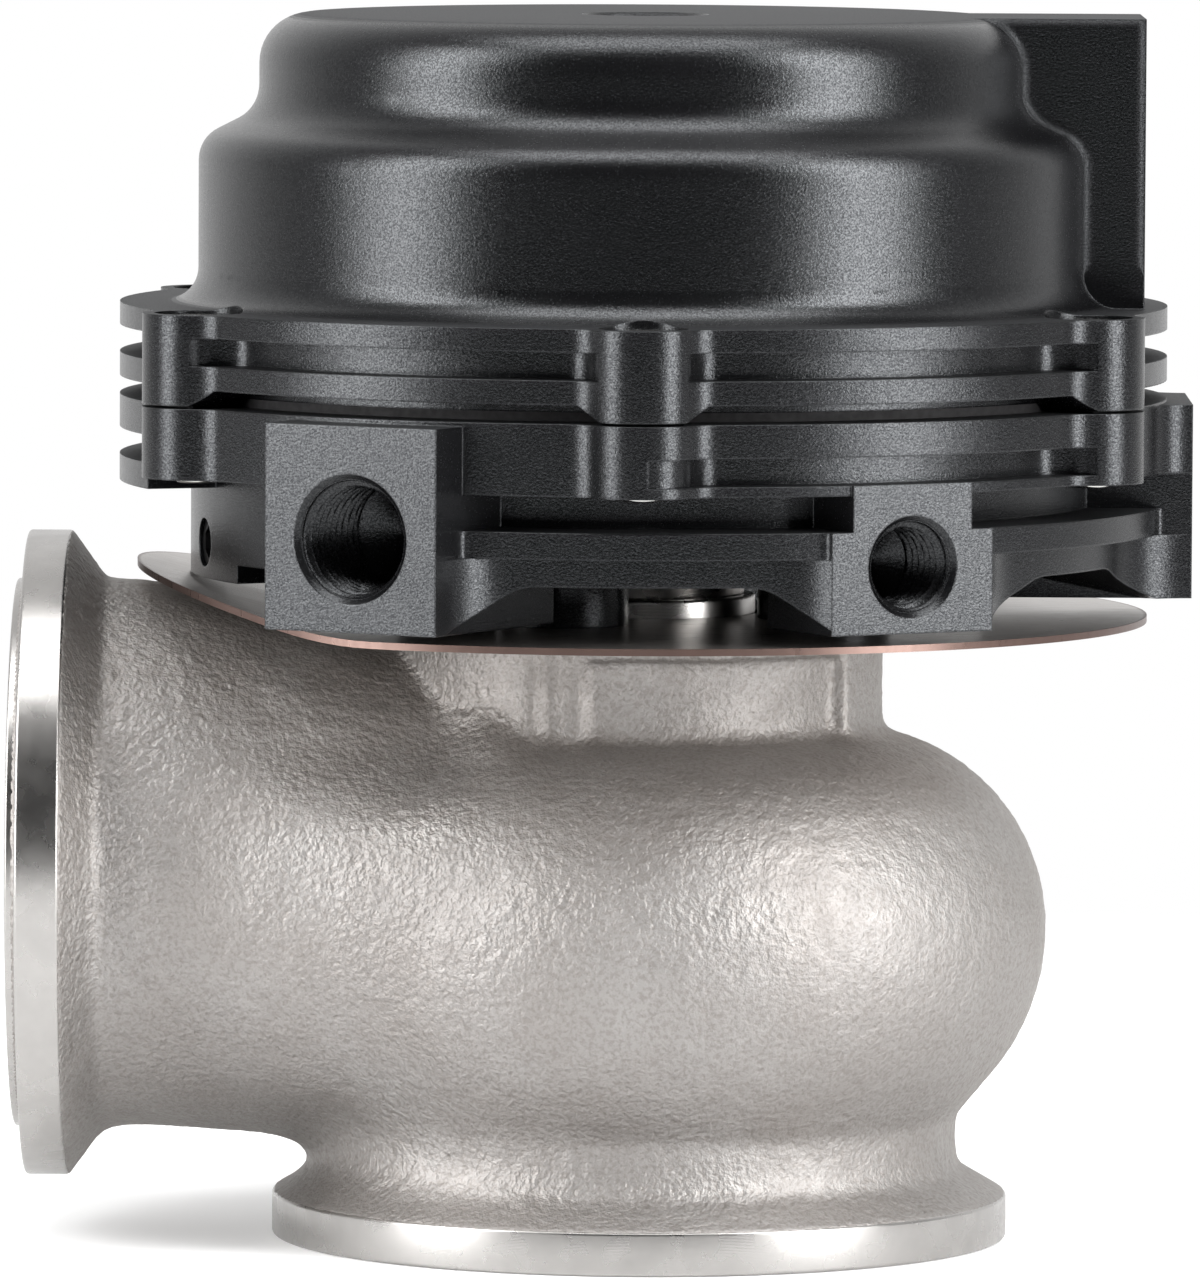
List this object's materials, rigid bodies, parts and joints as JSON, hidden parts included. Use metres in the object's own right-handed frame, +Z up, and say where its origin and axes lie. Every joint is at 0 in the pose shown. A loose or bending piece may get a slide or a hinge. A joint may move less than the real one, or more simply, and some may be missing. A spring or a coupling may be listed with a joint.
{
  "type": "turbo wastegate",
  "caption": "External turbocharger wastegate: black finned diaphragm actuator with threaded ports on a cast stainless poppet valve body with V-band inlet and outlet.",
  "frame": {"origin": "centre of the inlet V-band flange's face, which is the part's lowest plane", "axes": "+Z up the valve's axis, from the inlet to the actuator; -X out of the outlet; +Y away from the side with two ports"},
  "size_m": [0.1034, 0.0988, 0.108],
  "materials": {
    "cast_stainless": "as-cast grain, machined flange rims",
    "turned_steel": "turned",
    "shield_steel": "rolled sheet",
    "spring_steel": "shot peened",
    "screw_steel": "bright stainless",
    "black_steel": "black oxide",
    "black_anodised": "bead-blasted, black anodised",
    "plain_aluminium": "turned",
    "seal_rubber": "moulded",
    "diaphragm_rubber": "fabric-reinforced silicone"
  },
  "bodies": {
    "housing": {"valve_body": "cast_stainless", "valve_seat": "turned_steel", "stem_guide": "turned_steel", "seal_carrier": "turned_steel", "stem_seal": "seal_rubber", "seal_clip": "spring_steel", "carrier_o_ring": "seal_rubber", "heat_shield": "shield_steel", "actuator_housing": "black_anodised", "port_plug": "black_steel", "body_screws": "screw_steel", "actuator_cap": "black_anodised", "cap_screws": "screw_steel", "diaphragm": "diaphragm_rubber", "spring_outer": "spring_steel", "spring_inner": "spring_steel", "spring_shim": "turned_steel"},
    "valve_train": {"valve": "turned_steel", "retainer_plate": "plain_aluminium", "piston": "plain_aluminium", "stem_washer": "turned_steel", "stem_nut": "screw_steel"}
  },
  "joints": [
    {"name": "valve_lift", "type": "slide", "parent": "housing", "child": "valve_train", "axis": [0, 0, 1], "range_m": [0, 0.008], "stiffness_N_per_m": 12000, "springref_m": -0.015, "deforming": ["diaphragm", "spring_outer", "spring_inner"]}
  ]
}
